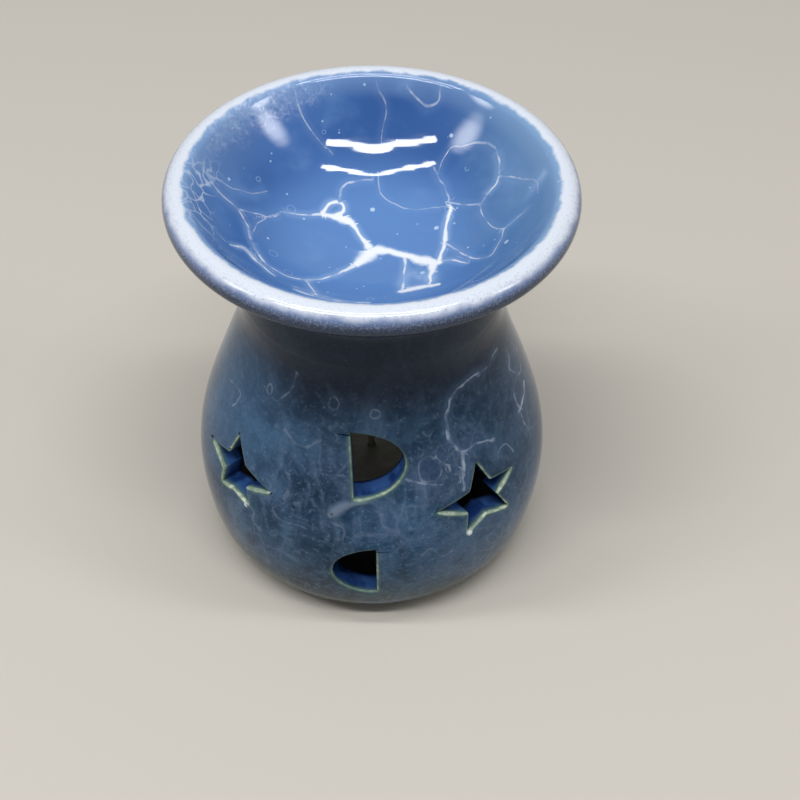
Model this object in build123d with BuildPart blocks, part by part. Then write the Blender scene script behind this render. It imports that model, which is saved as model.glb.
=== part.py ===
# Essential oil burner: a glazed ceramic bowl on a round belly that shelters a tealight.
# Sizes are in millimetres and degrees. +Z is up and the front, with the half-moons, looks
# along -Y. The origin is the centre of the foot, on the surface that the burner stands on.
import math
import os

from build123d import *

# How far a cutting shape runs past the wall that it cuts
overrun = 6.0

# The belly, from the foot up: radius at each station, the rise from the station below, and
# the slopes at which the wall leaves the foot and passes the base
foot_radius = 29.5
base_radius = 37.8
base_rise = 9.7
belly_radius = 39.25
belly_rise = 14.4
shoulder_radius = 33.7
shoulder_rise = 22.4
neck_radius = 28.0
neck_rise = 17.9
collar_rise = 5.6
foot_slope = 18.0
base_slope = 78.0

# Walls of the belly, its floor and the shallow recess that leaves a ring to stand on
belly_wall = 5.3
floor_thickness = 5.0
foot_recess_depth = 1.5
foot_ring_width = 6.5
foot_recess_draft = 1.0
chamber_corner_radius = 4.0

# The bowl: the rim is measured over the rolled lip, the depth from the top of the lip
rim_diameter = 84.0
lip_thickness = 6.3
bowl_depth = 20.3
bowl_wall = 5.6
bowl_slope_at_lip = 56.0
lip_crease_angle = 235.0
bowl_flare_radius = 7.0
lip_crease_radius = 0.8

# Candle arch at the back, which the tealight slides through with room for the fingers
arch_side_clearance = 3.2
arch_spring_height = 17.0

# Half-moons at the front: height of the middle, length of the straight side, how far the
# bulge reaches from it, its distance from the middle of the front, and its lean
upper_moon_height = 46.8
upper_moon_chord = 14.1
upper_moon_reach = 10.9
upper_moon_offset = -4.0
upper_moon_lean = 2.9
lower_moon_height = 19.4
lower_moon_chord = 14.6
lower_moon_reach = 9.4
lower_moon_offset = 1.0
lower_moon_lean = 0.7

# Five-pointed stars: azimuth from the front, height, the reach of a full tip, and for each
# tip, from the top one round to the right, its angle and its share of that reach
star_reach = 10.5
star_notch_share = 0.41
right_star_azimuth = 38.8
right_star_height = 33.0
right_star_tip_angles = (90.0, 10.0, -43.5, -124.0, -188.0)
right_star_tip_shares = (0.87, 0.95, 0.98, 0.82, 1.07)
left_star_azimuth = -52.0
left_star_height = 34.5
left_star_tip_angles = (98.0, 6.5, -42.0, -125.0, -183.0)
left_star_tip_shares = (0.83, 1.02, 0.75, 0.68, 1.02)

# The glaze rounds the outer edge of every cut
arch_edge_radius = 1.2
moon_edge_radius = 0.8
star_edge_radius = 0.4

# Tealight: cup, wax, wick and the steel disc that holds the wick
cup_diameter = 38.0
cup_height = 15.5
cup_wall = 0.4
cup_bead_thickness = 1.0
cup_corner_radius = 1.5
wax_side_clearance = 0.1
wax_height = 12.0
wax_edge_radius = 0.8
sustainer_diameter = 12.0
sustainer_thickness = 0.4
sustainer_collar_diameter = 3.4
sustainer_collar_height = 4.0
sustainer_clearance = 0.1
wick_diameter = 1.8
wick_above_wax = 6.5
wick_tip_chamfer = 0.4

# Heights and radii that follow from the sizes above
base_height = base_rise
belly_height = base_height + belly_rise
shoulder_height = belly_height + shoulder_rise
neck_height = shoulder_height + neck_rise
collar_height = neck_height + collar_rise
chamber_floor = foot_recess_depth + floor_thickness
neck_bore_radius = neck_radius - belly_wall
bowl_bottom = collar_height + bowl_wall
rim_height = bowl_bottom + bowl_depth
lip_radius = lip_thickness / 2
lip_ring_radius = rim_diameter / 2 - lip_radius
lip_ring_height = rim_height - lip_radius
arch_width = cup_diameter + 2 * arch_side_clearance
cut_reach = belly_radius + overrun
cup_bead_radius = cup_bead_thickness / 2
cup_wall_radius = cup_diameter / 2 - cup_bead_radius
wax_bottom = chamber_floor + cup_wall
wax_radius = cup_wall_radius - cup_wall - wax_side_clearance
sustainer_radius = sustainer_diameter / 2
collar_radius = sustainer_collar_diameter / 2
wick_radius = wick_diameter / 2

os.makedirs("parts", exist_ok=True)


def polar(angle, reach):
    """Point at an angle in degrees and a distance from the origin of a sketch."""
    turn = math.radians(angle)
    return reach * math.cos(turn), reach * math.sin(turn)


def lip_point(angle):
    """Point on the round of the lip, with its angle measured from straight outwards."""
    across, up = polar(angle, lip_radius)
    return lip_ring_radius + across, lip_ring_height + up


def facing(azimuth, height):
    """Upright plane through the axis that looks out at an azimuth from the front."""
    turn = math.radians(azimuth)
    along = (math.cos(turn), math.sin(turn), 0)
    outward = (math.sin(turn), -math.cos(turn), 0)
    return Plane(origin=(0, 0, height), x_dir=along, z_dir=outward)


def belly_curve(inset):
    """Curve of the belly from the base to the collar, drawn in by a wall."""
    stations = [
        (base_radius - inset, base_height),
        (belly_radius - inset, belly_height),
        (shoulder_radius - inset, shoulder_height),
        (neck_radius - inset, neck_height),
        (neck_radius - inset, collar_height),
    ]
    return Spline(*stations, tangents=[polar(base_slope, 1), (0, 1)])


def round_outer_edges(body, radius):
    """Round the edges that the last cut left in the outer wall, as the glaze does."""
    outer_wall = body.faces().sort_by(SortBy.AREA)[-1]
    fillet(body.edges(Select.LAST) & outer_wall.edges(), radius)


def half_moon(offset, chord, reach, lean):
    """Half-moon whose straight side stands beside the axis and leans by a few degrees."""
    with BuildSketch() as outline:
        with BuildLine():
            bulge = EllipticalCenterArc(
                (offset, 0), reach, chord / 2, start_angle=-90, arc_size=180, rotation=lean
            )
            Line(bulge @ 1, bulge @ 0)
        make_face()
    return outline.sketch


def star(tip_angles, tip_shares):
    """Hand-cut star: each tip has its own angle and reach, and each notch lies between two."""
    corners = []
    for index, angle in enumerate(tip_angles):
        following = tip_angles[(index + 1) % len(tip_angles)]
        turn = (angle - following) % 360
        corners.append(polar(angle, star_reach * tip_shares[index]))
        corners.append(polar(angle - turn / 2, star_reach * star_notch_share))
    with BuildSketch() as outline:
        with BuildLine():
            Polyline(*corners, close=True)
        make_face()
    return outline.sketch


# Lower part: foot ring, floor, belly, shoulder and collar, turned as one wall
with BuildPart() as burner_body:
    with BuildSketch(Plane.XZ):
        with BuildLine():
            recess_radius = foot_radius - foot_ring_width
            recess = Polyline(
                (0, foot_recess_depth),
                (recess_radius - foot_recess_draft, foot_recess_depth),
                (recess_radius, 0),
                (foot_radius, 0),
            )
            belly = belly_curve(0)
            Spline(recess @ 1, belly @ 0, tangents=[polar(foot_slope, 1), belly % 0])
            Polyline(belly @ 1, (0, collar_height), recess @ 0)
        make_face()
    revolve(axis=Axis.Z)

    with BuildSketch(Plane.XZ):
        with BuildLine():
            inside = belly_curve(belly_wall)
            floor_edge = (base_radius - belly_wall - chamber_corner_radius, chamber_floor)
            Spline(floor_edge, inside @ 0, tangents=[(1, 0), inside % 0])
            above = collar_height + overrun
            Polyline(inside @ 1, (neck_bore_radius, above), (0, above), (0, chamber_floor), floor_edge)
        make_face()
    revolve(axis=Axis.Z, mode=Mode.SUBTRACT)

    # Candle arch, level with the floor of the chamber
    with BuildSketch(facing(180, chamber_floor)):
        with BuildLine():
            half = arch_width / 2
            sides = Polyline(
                (-half, arch_spring_height), (-half, 0), (half, 0), (half, arch_spring_height)
            )
            ThreePointArc(sides @ 1, (0, arch_spring_height + half), sides @ 0)
        make_face()
    extrude(amount=cut_reach, mode=Mode.SUBTRACT)
    round_outer_edges(burner_body, arch_edge_radius)

    # Half-moons, one above the other, with their straight sides back to back
    with BuildSketch(facing(0, upper_moon_height)):
        add(half_moon(upper_moon_offset, upper_moon_chord, upper_moon_reach, upper_moon_lean))
    extrude(amount=cut_reach, mode=Mode.SUBTRACT)
    round_outer_edges(burner_body, moon_edge_radius)
    with BuildSketch(facing(0, lower_moon_height)):
        lean = 180 + lower_moon_lean
        add(half_moon(lower_moon_offset, lower_moon_chord, lower_moon_reach, lean))
    extrude(amount=cut_reach, mode=Mode.SUBTRACT)
    round_outer_edges(burner_body, moon_edge_radius)

    # Stars, one to each side of the half-moons
    with BuildSketch(facing(right_star_azimuth, right_star_height)):
        add(star(right_star_tip_angles, right_star_tip_shares))
    extrude(amount=cut_reach, mode=Mode.SUBTRACT)
    round_outer_edges(burner_body, star_edge_radius)
    with BuildSketch(facing(left_star_azimuth, left_star_height)):
        add(star(left_star_tip_angles, left_star_tip_shares))
    extrude(amount=cut_reach, mode=Mode.SUBTRACT)
    round_outer_edges(burner_body, star_edge_radius)

burner_body.part.label = "burner_body"
export_step(burner_body.part, "parts/burner_body.step")

# Bowl: one turned wall with a rolled lip, on a ring that is luted to the collar
with BuildPart() as oil_bowl:
    with BuildSketch(Plane.XZ) as section:
        uphill = polar(bowl_slope_at_lip, 1)
        with BuildLine():
            hollow = Spline(
                (0, bowl_bottom), lip_point(90 + bowl_slope_at_lip), tangents=[(1, 0), uphill]
            )
            under = Spline(
                (0, collar_height), lip_point(lip_crease_angle), tangents=[(1, 0), uphill]
            )
            Line(hollow @ 1, under @ 1)
            Line(under @ 0, hollow @ 0)
        make_face()
        with Locations((neck_bore_radius, collar_height)):
            Rectangle(belly_wall, bowl_wall + bowl_depth, align=Align.MIN)
        with BuildLine():
            add(hollow)
            above = rim_height + overrun
            Polyline(hollow @ 1, ((hollow @ 1).X, above), (0, above), hollow @ 0)
        make_face(mode=Mode.SUBTRACT)
        with Locations((lip_ring_radius, lip_ring_height)):
            Circle(lip_radius)
    revolve(axis=Axis.Z)
    circles = oil_bowl.edges().filter_by(GeomType.CIRCLE)
    ring_circles = circles.filter_by(lambda edge: math.isclose(edge.radius, neck_radius))
    fillet(ring_circles.sort_by(Axis.Z)[-1], bowl_flare_radius)
    crease = circles.sort_by(lambda edge: abs(edge.radius - lip_point(lip_crease_angle)[0]))[0]
    fillet(crease, lip_crease_radius)

oil_bowl.part.label = "oil_bowl"
export_step(oil_bowl.part, "parts/oil_bowl.step")

# Tealight cup: thin pressed wall with a rolled bead at its mouth
with BuildPart() as tealight_cup:
    with BuildSketch(Plane.XY.offset(chamber_floor)):
        Circle(cup_wall_radius)
    extrude(amount=cup_height - cup_bead_radius)
    fillet(tealight_cup.faces().sort_by(Axis.Z)[0].edges(), cup_corner_radius)
    offset(amount=-cup_wall, openings=tealight_cup.faces().sort_by(Axis.Z)[-1])
    with BuildSketch(Plane.XZ):
        with Locations((cup_wall_radius, chamber_floor + cup_height - cup_bead_radius)):
            Circle(cup_bead_radius)
    revolve(axis=Axis.Z)

tealight_cup.part.label = "tealight_cup"
export_step(tealight_cup.part, "parts/tealight_cup.step")

# Wax: a block that fills the cup, hollowed below for the sustainer and bored for the wick
with BuildPart() as tealight_wax:
    with BuildSketch(Plane.XY.offset(wax_bottom)):
        Circle(wax_radius)
    extrude(amount=wax_height)
    fillet(tealight_wax.faces().sort_by(Axis.Z)[0].edges(), cup_corner_radius)
    fillet(tealight_wax.faces().sort_by(Axis.Z)[-1].edges(), wax_edge_radius)
    with BuildSketch(Plane.XY.offset(wax_bottom)):
        Circle(sustainer_radius + sustainer_clearance)
    extrude(amount=sustainer_thickness + sustainer_clearance, mode=Mode.SUBTRACT)
    with BuildSketch(Plane.XY.offset(wax_bottom)):
        Circle(collar_radius + sustainer_clearance)
    extrude(amount=sustainer_collar_height + sustainer_clearance, mode=Mode.SUBTRACT)
    with BuildSketch(Plane.XY.offset(wax_bottom)):
        Circle(wick_radius + sustainer_clearance)
    extrude(amount=wax_height, mode=Mode.SUBTRACT)

tealight_wax.part.label = "tealight_wax"
export_step(tealight_wax.part, "parts/tealight_wax.step")

# Sustainer: a disc on the cup's floor, with a collar round the foot of the wick
with BuildPart() as wick_sustainer:
    with BuildSketch(Plane.XY.offset(wax_bottom)):
        Circle(sustainer_radius)
    extrude(amount=sustainer_thickness)
    with BuildSketch(Plane.XY.offset(wax_bottom)):
        Circle(collar_radius)
    extrude(amount=sustainer_collar_height)
    with BuildSketch(Plane.XY.offset(wax_bottom)):
        Circle(wick_radius + sustainer_clearance)
    extrude(amount=sustainer_collar_height, mode=Mode.SUBTRACT)

wick_sustainer.part.label = "wick_sustainer"
export_step(wick_sustainer.part, "parts/wick_sustainer.step")

# Wick: stands on the cup's floor and rises out of the wax
with BuildPart() as wick:
    with BuildSketch(Plane.XY.offset(wax_bottom)):
        Circle(wick_radius)
    extrude(amount=wax_height + wick_above_wax)
    chamfer(wick.faces().sort_by(Axis.Z)[-1].edges(), wick_tip_chamfer)

wick.part.label = "wick"
export_step(wick.part, "parts/wick.step")
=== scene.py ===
import math

import bmesh
import bpy
from mathutils import Matrix, Vector, noise
from mathutils.bvhtree import BVHTree
from mathutils.kdtree import KDTree


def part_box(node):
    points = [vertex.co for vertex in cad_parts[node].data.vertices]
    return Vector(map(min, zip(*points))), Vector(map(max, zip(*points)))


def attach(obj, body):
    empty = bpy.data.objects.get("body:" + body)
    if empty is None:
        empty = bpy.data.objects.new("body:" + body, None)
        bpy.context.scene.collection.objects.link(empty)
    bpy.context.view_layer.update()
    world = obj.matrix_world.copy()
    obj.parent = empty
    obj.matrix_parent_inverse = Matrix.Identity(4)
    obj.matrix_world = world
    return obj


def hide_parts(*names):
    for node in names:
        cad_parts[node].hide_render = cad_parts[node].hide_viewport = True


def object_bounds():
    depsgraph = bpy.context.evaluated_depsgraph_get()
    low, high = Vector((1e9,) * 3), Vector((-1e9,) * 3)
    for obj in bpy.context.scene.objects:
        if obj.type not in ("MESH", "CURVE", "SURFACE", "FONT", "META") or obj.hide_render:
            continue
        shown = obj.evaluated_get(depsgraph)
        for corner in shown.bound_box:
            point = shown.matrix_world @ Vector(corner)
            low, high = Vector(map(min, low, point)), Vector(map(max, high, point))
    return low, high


# Essential oil burner: a turned shell with hand-cut half-moons and stars, a glazed bowl on its
# collar and a tealight inside. The front, with the half-moons, looks along -Y.
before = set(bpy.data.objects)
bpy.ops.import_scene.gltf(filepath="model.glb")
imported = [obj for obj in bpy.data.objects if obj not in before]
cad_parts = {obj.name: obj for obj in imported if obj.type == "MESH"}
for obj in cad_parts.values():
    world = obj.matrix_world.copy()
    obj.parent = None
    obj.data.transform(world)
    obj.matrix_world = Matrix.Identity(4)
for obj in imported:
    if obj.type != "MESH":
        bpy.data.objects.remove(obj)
cad_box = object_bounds()

# A millimetre, a distance too small to see, and one from the axis that is well outside the burner
MM = 0.001
HAIR = 0.01 * MM
OUTSIDE = 0.2

# Heights and radii that the shell and the bowl share
FOOT_RECESS = 1.5 * MM
RECESS_RADIUS = 23.0 * MM
FOOT_RADIUS = 29.5 * MM
CHAMBER_FLOOR = 6.5 * MM
FLOOR_EDGE = 28.5 * MM
COLLAR_HEIGHT = 70.0 * MM
NECK_RADIUS = 28.0 * MM
NECK_BORE = 22.7 * MM
LIP_RADIUS = 3.15 * MM
LIP_RING_RADIUS = 38.85 * MM
LIP_RING_HEIGHT = 92.75 * MM
LIP_INNER_ANGLE = 146
LIP_CREASE_ANGLE = 235

# Width of the rounding that the glaze leaves on each kind of opening, and of the pale line there,
# outside on the wall and inside the cut
ARCH_ROUNDING, ARCH_LINES = 1.2 * MM, (0.9 * MM, 1.1 * MM)
MOON_ROUNDING, MOON_LINES = 0.8 * MM, (0.5 * MM, 0.5 * MM)
STAR_ROUNDING, STAR_LINES = 0.4 * MM, (0.5 * MM, 0.8 * MM)

# Cutting: how far a cutter reaches from the axis, the shortest edge left on a rim, the gap between
# the points that stand for a rim, how many roundings the wall's mesh keeps off a rim, and in how
# many rounds it is evened out there
CUTTER_REACH = 46 * MM
SHORTEST_EDGE = 0.4 * MM
RIM_STEP = 0.1 * MM
CLEARANCE = 1.7
EVENING_ROUNDS = 12

# Glazes: how strongly they mirror, and how high their relief is
GLAZE_IOR = 1.27
GLAZE_RELIEF = 0.08 * MM

# A value kept on the mesh that means far away from every line, run or bead
FAR = 9

# Without a seed the drawn lines would waver differently in every run
noise.seed_set(1)


# Modelling helpers

def only(piece):
    """Back to object mode, with one object selected and active."""
    if bpy.context.mode != "OBJECT":
        bpy.ops.object.mode_set(mode="OBJECT")
    bpy.ops.object.select_all(action="DESELECT")
    piece.select_set(True)
    bpy.context.view_layer.objects.active = piece


def settle(piece):
    """Put an object's place, turn and size into its mesh."""
    only(piece)
    bpy.ops.object.transform_apply(location=True, rotation=True, scale=True)


def select_where(piece, kind, test):
    """In edit mode, select the vertices, edges or faces that pass a test, and nothing else."""
    mesh = bmesh.from_edit_mesh(piece.data)
    bpy.ops.mesh.select_all(action="DESELECT")
    modes = ("verts", "edges", "faces")
    bpy.context.tool_settings.mesh_select_mode = tuple(kind == mode for mode in modes)
    for item in getattr(mesh, kind):
        item.select_set(test(item))
    mesh.select_flush_mode()
    bmesh.update_edit_mesh(piece.data)


def edit_all():
    """Into edit mode, with the whole mesh selected."""
    bpy.ops.object.mode_set(mode="EDIT")
    bpy.ops.mesh.select_all(action="SELECT")


def faced_outward():
    """Turn every face of the mesh outward and go back to object mode."""
    bpy.ops.mesh.select_all(action="SELECT")
    bpy.ops.mesh.normals_make_consistent(inside=False)
    bpy.ops.object.mode_set(mode="OBJECT")


def smooth(low, high, value):
    """0 at low, 1 at high, and a soft step between them."""
    share = min(max((value - low) / (high - low), 0), 1)
    return share * share * (3 - 2 * share)


def reach_of(point):
    """Distance of a point from the axis."""
    return math.hypot(point.x, point.y)


def feeler(node):
    """Tree that rays can be cast against, from a node of the frame."""
    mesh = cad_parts[node].data
    places = [vertex.co for vertex in mesh.vertices]
    return BVHTree.FromPolygons(places, [face.vertices for face in mesh.polygons])


def turned(name, section, turns):
    """Turn a section, drawn point by point on the +X side, into a closed solid."""
    bpy.ops.object.select_all(action="DESELECT")
    bpy.ops.mesh.primitive_plane_add(size=MM, location=(section[0][0], 0, section[0][1]))
    piece = bpy.context.active_object
    piece.name = name
    settle(piece)
    bpy.ops.object.mode_set(mode="EDIT")
    bpy.ops.mesh.select_mode(type="VERT")
    bpy.ops.mesh.select_all(action="SELECT")
    bpy.ops.mesh.merge(type="CENTER")
    for start, end in zip(section, section[1:]):
        step = (end[0] - start[0], 0, end[1] - start[1])
        bpy.ops.mesh.extrude_region_move(TRANSFORM_OT_translate={"value": step})
    bpy.ops.mesh.select_all(action="SELECT")
    bpy.ops.mesh.spin(steps=turns, angle=2 * math.pi, center=(0, 0, 0), axis=(0, 0, 1))
    bpy.ops.mesh.select_all(action="SELECT")
    bpy.ops.mesh.remove_doubles(threshold=HAIR)
    faced_outward()
    return piece


def keep_value(piece, name, values):
    """Store one number a vertex on the mesh, for its material to read."""
    layer = piece.data.attributes.new(name, "FLOAT", "POINT")
    layer.data.foreach_set("value", values)


def smooth_shaded(piece, degrees):
    """Shade smooth, but keep edges sharper than an angle."""
    only(piece)
    bpy.ops.object.shade_smooth_by_angle(angle=math.radians(degrees))


def tree_of(points):
    """A tree that finds the nearest of many points."""
    tree = KDTree(len(points))
    for index, point in enumerate(points):
        tree.insert(point, index)
    tree.balance()
    return tree


def curved(line):
    """Extra points between those of a line, on a curve that passes through them all."""
    points = []
    last = len(line) - 1
    for index in range(last):
        before, start = line[max(index - 1, 0)], line[index]
        end, after = line[index + 1], line[min(index + 2, last)]
        for part in range(5):
            share = part / 5
            pull = (end - before) * share + (before * 2 - start * 5 + end * 4 - after) * share ** 2
            pull += (start * 3 - before - end * 3 + after) * share ** 3
            points.append(start + pull * 0.5)
    return points + [line[-1]]


class Drawing:
    """Lines of glaze on a surface, each point of them with a half width and a strength."""

    def __init__(self):
        self.points, self.widths, self.strengths, self.runs = [], [], [], []

    def add(self, line, widths, strength, waver):
        """Take in one line, close enough together to measure from."""
        widths = [width.x for width in curved([Vector((width, 0, 0)) for width in widths])]
        line = curved(line)
        for point in line[1:-1]:
            point += noise.noise_vector(point * 500) * waver
        for index, (start, end) in enumerate(zip(line, line[1:])):
            count = max(2, int((end - start).length / (0.2 * MM)))
            for part in range(count):
                share = part / count
                self.points.append(start.lerp(end, share))
                self.widths.append(widths[index] * (1 - share) + widths[index + 1] * share)
                self.strengths.append(strength)
                self.runs.append((end - start).normalized())

    def finish(self):
        """Make ready to measure."""
        self.tree = tree_of(self.points)

    def measure(self, place, normal):
        """How far across the nearest line, how far past its end, and how strong it is."""
        point, index, gap = self.tree.find(place)
        width = max(self.widths[index], 0.08 * MM)
        across = (place - point).cross(self.runs[index]).dot(normal)
        if width > 0.7 * MM:
            across = gap
        return across / width, gap / max(width, 1 * MM), self.strengths[index]


def keep_drawing(piece, drawing, places, normals):
    """Store where a drawing's lines run on the piece."""
    found = [drawing.measure(place, normal) for place, normal in zip(places, normals)]
    for name, values in zip(("line_side", "line_end", "line_strength"), zip(*found)):
        keep_value(piece, name, values)


# The shell

shell_wall = feeler("burner_body")


def wall_reach(height, inside):
    """Radius of the shell's wall at a height, felt at the uncut side."""
    height = min(max(height, HAIR), COLLAR_HEIGHT - HAIR)
    if inside:
        height = max(height, CHAMBER_FLOOR + HAIR)
        return shell_wall.ray_cast(Vector((0, 0, height)), Vector((1, 0, 0)))[0].x
    return shell_wall.ray_cast(Vector((OUTSIDE, 0, height)), Vector((-1, 0, 0)))[0].x


def wall_line(lowest, highest, step, inside):
    """Points up the shell's wall, evened out over a few millimetres."""
    count = round((highest - lowest) / step)
    line = []
    for index in range(count + 1):
        height = lowest + (highest - lowest) * index / count
        span = min(2 * MM, height - lowest, highest - height)
        felt = [wall_reach(height + span * part / 4, inside) for part in range(-4, 5)]
        line.append((sum(felt) / len(felt), height))
    return line


def depth_in_wall(point):
    """0 on the outside of the wall, 1 on its inside."""
    outer, inner = wall_reach(point.z, False), wall_reach(point.z, True)
    return (outer - reach_of(point)) / (outer - inner)


def front_point(azimuth, height):
    """Point on the outer wall at an azimuth from the front and a height in millimetres."""
    turn = math.radians(azimuth)
    reach = wall_reach(height * MM, False)
    return Vector((math.sin(turn) * reach, -math.cos(turn) * reach, height * MM))


def opening_outline(name, sides, size):
    """A ring drawn upright on the axis, to be shaped into the outline of an opening."""
    bpy.ops.object.select_all(action="DESELECT")
    bpy.ops.mesh.primitive_circle_add(vertices=sides, radius=size, rotation=(math.pi / 2, 0, 0))
    outline = bpy.context.active_object
    outline.name = name
    settle(outline)
    return outline


def cutter_from(outline, reach, place):
    """Fill an outline, pull it out along Y and put it in its place."""
    only(outline)
    edit_all()
    bpy.ops.mesh.edge_face_add()
    bpy.ops.mesh.extrude_region_move(TRANSFORM_OT_translate={"value": (0, reach, 0)})
    faced_outward()
    outline.matrix_world = place
    settle(outline)
    for face in outline.data.polygons:
        face.material_index = 1
    return outline


def half_moon_cutter(name, height, chord, bulge, offset, lean):
    """Half of an oval, whose straight side stands beside the axis."""
    outline = opening_outline(name, 64, 1 * MM)
    edit_all()
    bpy.ops.transform.resize(value=(bulge, 1, chord / 2))
    bpy.ops.mesh.bisect(plane_co=(0, 0, 0), plane_no=(1, 0, 0), clear_inner=True)
    turn = Matrix.Rotation(-math.radians(lean), 4, "Y")
    place = Matrix.Translation((offset * MM, 0, height * MM)) @ turn
    return cutter_from(outline, -CUTTER_REACH, place)


def star_cutter(name, azimuth, height, tip_angles, tip_shares):
    """Five tips, each with its own angle and reach, with a notch halfway between two."""
    outline = opening_outline(name, 10, 1 * MM)
    star_reach, notch_share = 10.5, 0.41
    corners = []
    for index, angle in enumerate(tip_angles):
        turn = (angle - tip_angles[(index + 1) % 5]) % 360
        corners.append((angle, star_reach * tip_shares[index]))
        corners.append((angle - turn / 2, star_reach * notch_share))
    for vertex, (angle, reach) in zip(outline.data.vertices, corners):
        turn = math.radians(angle)
        vertex.co = Vector((math.cos(turn), 0, math.sin(turn))) * reach * MM
    place = Matrix.Translation((0, 0, height * MM))
    place = Matrix.Rotation(math.radians(azimuth), 4, "Z") @ place
    return cutter_from(outline, -CUTTER_REACH, place)


def arch_cutter(name, half_width, spring):
    """Half a ring with two legs, standing just clear of the chamber floor."""
    outline = opening_outline(name, 96, half_width)
    edit_all()
    bpy.ops.mesh.bisect(plane_co=(0, 0, 0), plane_no=(0, 0, 1), clear_inner=True)
    select_where(outline, "verts", lambda vertex: vertex.co.z < HAIR)
    leg = (0, 0, 0.03 * MM - spring)
    bpy.ops.mesh.extrude_region_move(TRANSFORM_OT_translate={"value": leg})
    return cutter_from(outline, CUTTER_REACH, Matrix.Translation((0, 0, CHAMBER_FLOOR + spring)))


def knife_slip(name, start, end, width, depth):
    """A thin wedge, where the knife ran on past a corner: it points from start to end."""
    start, end = front_point(*start), front_point(*end)
    along = (end - start).normalized()
    outward = Vector((end.x, end.y, 0.15 * reach_of(end))).normalized()
    across = outward.cross(along).normalized()
    outline = opening_outline(name, 4, 1 * MM)
    length = (end - start).length
    corners = ((length, 0), (0, width / 2), (-0.4 * MM, 0), (0, -width / 2))
    for vertex, (forward, aside) in zip(outline.data.vertices, corners):
        vertex.co = Vector((forward, 0, aside))
    turn = Matrix((along, -outward, across)).transposed().to_4x4()
    place = Matrix.Translation(start + outward * 2 * MM) @ turn
    return cutter_from(outline, 2 * MM + depth, place)


rim_points, rim_lines = [], []


def cut(shell, cutter, solver):
    """Take a cutter out of the shell."""
    only(shell)
    taken = shell.modifiers.new("opening", "BOOLEAN")
    taken.operation = "DIFFERENCE"
    taken.solver = solver
    taken.object = cutter
    bpy.ops.object.modifier_apply(modifier=taken.name)
    bpy.data.objects.remove(cutter)


def close_cut(shell):
    """Leave the fresh faces of a cut out of the next one's rounding."""
    for face in shell.data.polygons:
        if face.material_index == 1:
            face.material_index = 2


def cut_opening(shell, cutter, rounding, lines):
    """Cut an opening, push the wall's mesh clear of its rim and round the rim off."""
    cut(shell, cutter, "EXACT")

    def on_rim(edge):
        """Edges between the fresh cut and the outer wall."""
        kinds = {face.material_index for face in edge.link_faces}
        if kinds != {0, 1}:
            return False
        return depth_in_wall((edge.verts[0].co + edge.verts[1].co) / 2) < 0.5

    bpy.ops.object.mode_set(mode="EDIT")
    select_where(shell, "edges", on_rim)
    bpy.ops.mesh.dissolve_degenerate(threshold=SHORTEST_EDGE)
    mesh = bmesh.from_edit_mesh(shell.data)
    samples, aways = [], []
    for edge in mesh.edges:
        if not on_rim(edge):
            continue
        loop = next(loop for loop in edge.link_loops if loop.face.material_index == 0)
        start, end = loop.vert.co, loop.link_loop_next.vert.co
        away = Vector((start.x, start.y, 0)).cross(end - start).normalized()
        count = max(1, int((end - start).length / RIM_STEP))
        samples += [start.lerp(end, part / count) for part in range(count + 1)]
        aways += [away] * (count + 1)
    near = tree_of(samples)
    rim_points.extend(samples)
    rim_lines.extend([lines] * len(samples))
    clear = CLEARANCE * rounding

    def cleared(place, least, share):
        """A place on the wall, moved away from the rim where it is too close."""
        point, index, gap = near.find(place)
        if gap < least:
            aside = (place - point + aways[index] * 0.15 * MM).normalized()
            place = point + aside * (clear + gap * share)
            place.xy *= wall_reach(place.z, False) / reach_of(place)
        return place

    band = []
    for vertex in mesh.verts:
        on_wall = all(face.material_index == 0 for face in vertex.link_faces)
        if on_wall and near.find(vertex.co)[2] < 2 * clear and depth_in_wall(vertex.co) < 0.5:
            band.append(vertex)
            vertex.co = cleared(vertex.co, 2 * clear, 0.5)
    for _ in range(EVENING_ROUNDS):
        middles = []
        for vertex in band:
            ends = [edge.other_vert(vertex).co for edge in vertex.link_edges]
            middles.append(sum(ends, Vector()) / len(ends))
        for vertex, middle in zip(band, middles):
            vertex.co = cleared(vertex.co.lerp(middle, 0.5), clear, 0)
    bmesh.update_edit_mesh(shell.data)
    select_where(shell, "edges", on_rim)
    bpy.ops.mesh.bevel(offset=rounding, segments=4, profile=0.5, clamp_overlap=False, material=1,
                       miter_outer="ARC", loop_slide=False)
    bpy.ops.object.mode_set(mode="OBJECT")
    close_cut(shell)


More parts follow.
